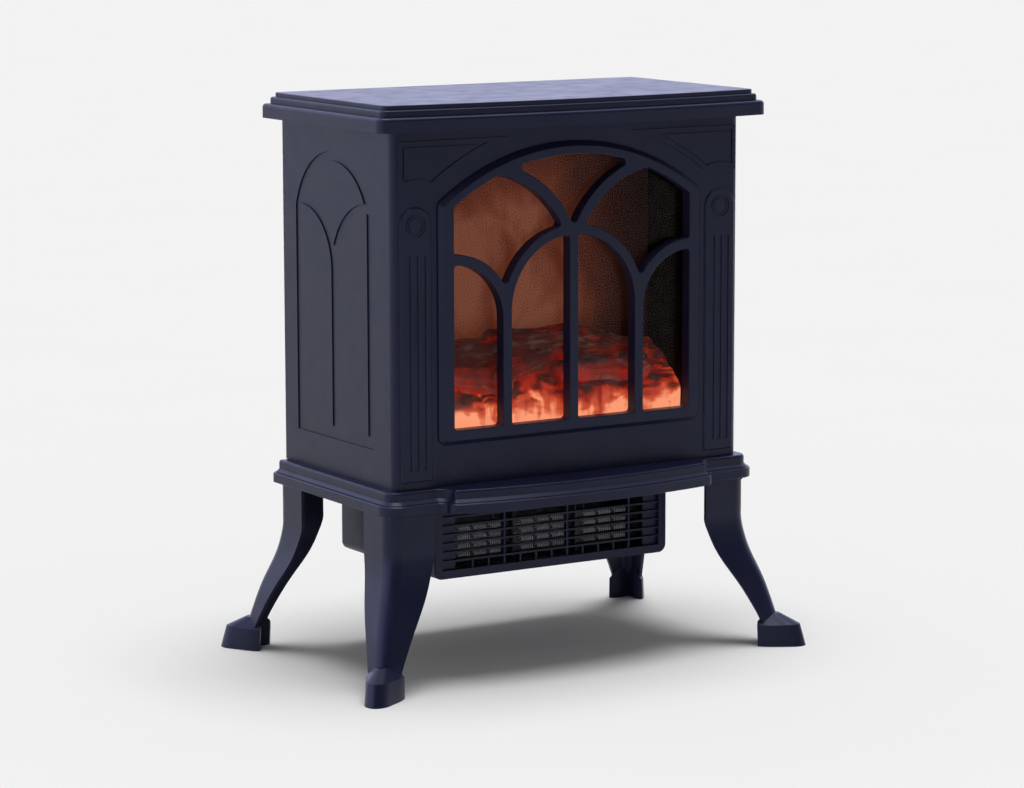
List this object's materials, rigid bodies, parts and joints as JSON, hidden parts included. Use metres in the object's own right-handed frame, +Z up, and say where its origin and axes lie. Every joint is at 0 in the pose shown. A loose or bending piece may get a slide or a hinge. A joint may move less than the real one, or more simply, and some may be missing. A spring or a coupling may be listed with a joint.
{
  "type": "electric fireplace heater",
  "caption": "Free-standing electric stove heater on four cabriole legs: arched window over a lit log bed, fan heater grille under the base, dial and rockers behind.",
  "frame": {"origin": "on the floor, under the centre of the footprint of the four feet", "axes": "+Z up, the window faces -Y, +X is to the right when looking at the window"},
  "size_m": [0.4864, 0.3058, 0.538],
  "materials": {
    "enamel": "fine textured satin, dark navy charcoal",
    "black_sheet": "powder coated",
    "zinc_sheet": "galvanised",
    "screw_steel": "black oxide",
    "clear_glass": "clear",
    "liner_black": "matte heat paint",
    "flame_screen": "frosted amber",
    "ember_resin": "translucent moulded resin",
    "circuit_board": "white solder mask",
    "bronze": "sintered",
    "motor_steel": "laminated",
    "rotor_aluminium": "mill",
    "shaft_steel": "ground",
    "mirror_foil": "bright foil",
    "mica": "pressed mica",
    "heating_wire": "oxidised nichrome",
    "black_plastic": "moulded",
    "rocker_plastic": "polished"
  },
  "bodies": {
    "stove": {"front_panel": "enamel", "side_panel_left": "enamel", "side_panel_right": "enamel", "back_panel": "black_sheet", "top_plate": "zinc_sheet", "top_cover": "enamel", "cover_screws": "screw_steel", "window_frame": "enamel", "window_glass": "clear_glass", "base_tray": "enamel", "leg_front_left": "enamel", "leg_front_right": "enamel", "leg_back_left": "enamel", "leg_back_right": "enamel", "leg_screws": "screw_steel", "back_panel_screws": "screw_steel", "heater_box_screws": "screw_steel", "heater_box": "enamel", "outlet_grille": "enamel", "element_frame": "mica", "heating_wire": "heating_wire", "thermal_cutout": "black_plastic", "blower_scroll": "zinc_sheet", "blower_bearing": "bronze", "blower_motor": "motor_steel", "inner_shelf": "zinc_sheet", "firebox_liner": "liner_black", "flame_screen": "flame_screen", "ember_bed": "ember_resin", "ember_led_board": "circuit_board", "flame_led_board": "circuit_board", "rotor_bracket_left": "zinc_sheet", "rotor_bracket_right": "zinc_sheet", "rotor_bush": "bronze", "flame_motor": "motor_steel", "control_plate": "black_plastic", "switch_body_flame": "black_plastic", "switch_body_low": "black_plastic", "switch_body_high": "black_plastic", "thermostat": "black_plastic", "cord_gland": "black_plastic", "terminal_block": "mica"},
    "flame_spindle": {"rotor_shaft": "shaft_steel", "rotor_reflectors": "mirror_foil"},
    "blower_rotor": {"blower_wheel": "rotor_aluminium", "blower_shaft": "shaft_steel", "blower_motor_rotor": "rotor_aluminium"},
    "flame_rocker": {"rocker_flame": "rocker_plastic"},
    "low_heat_rocker": {"rocker_low": "rocker_plastic"},
    "high_heat_rocker": {"rocker_high": "rocker_plastic"},
    "thermostat_dial": {"thermostat_shaft": "shaft_steel", "thermostat_knob": "rocker_plastic"}
  },
  "joints": [
    {"name": "flame_spindle_spin", "type": "hinge", "parent": "stove", "child": "flame_spindle", "pos_m": [0, 0.0095, 0.262], "axis": [1, 0, 0], "continuous": true},
    {"name": "blower_spin", "type": "hinge", "parent": "stove", "child": "blower_rotor", "pos_m": [0, 0.046, 0.129], "axis": [1, 0, 0], "continuous": true},
    {"name": "flame_switch", "type": "hinge", "parent": "stove", "child": "flame_rocker", "pos_m": [0.11, 0.1096, 0.43], "axis": [-1, 0, 0], "range_deg": [0, 24]},
    {"name": "low_heat_switch", "type": "hinge", "parent": "stove", "child": "low_heat_rocker", "pos_m": [0.132, 0.1096, 0.43], "axis": [-1, 0, 0], "range_deg": [0, 24]},
    {"name": "high_heat_switch", "type": "hinge", "parent": "stove", "child": "high_heat_rocker", "pos_m": [0.154, 0.1096, 0.43], "axis": [-1, 0, 0], "range_deg": [0, 24]},
    {"name": "thermostat_turn", "type": "hinge", "parent": "stove", "child": "thermostat_dial", "pos_m": [0.076, 0.109, 0.43], "axis": [0, -1, 0], "range_deg": [-135, 135]}
  ]
}
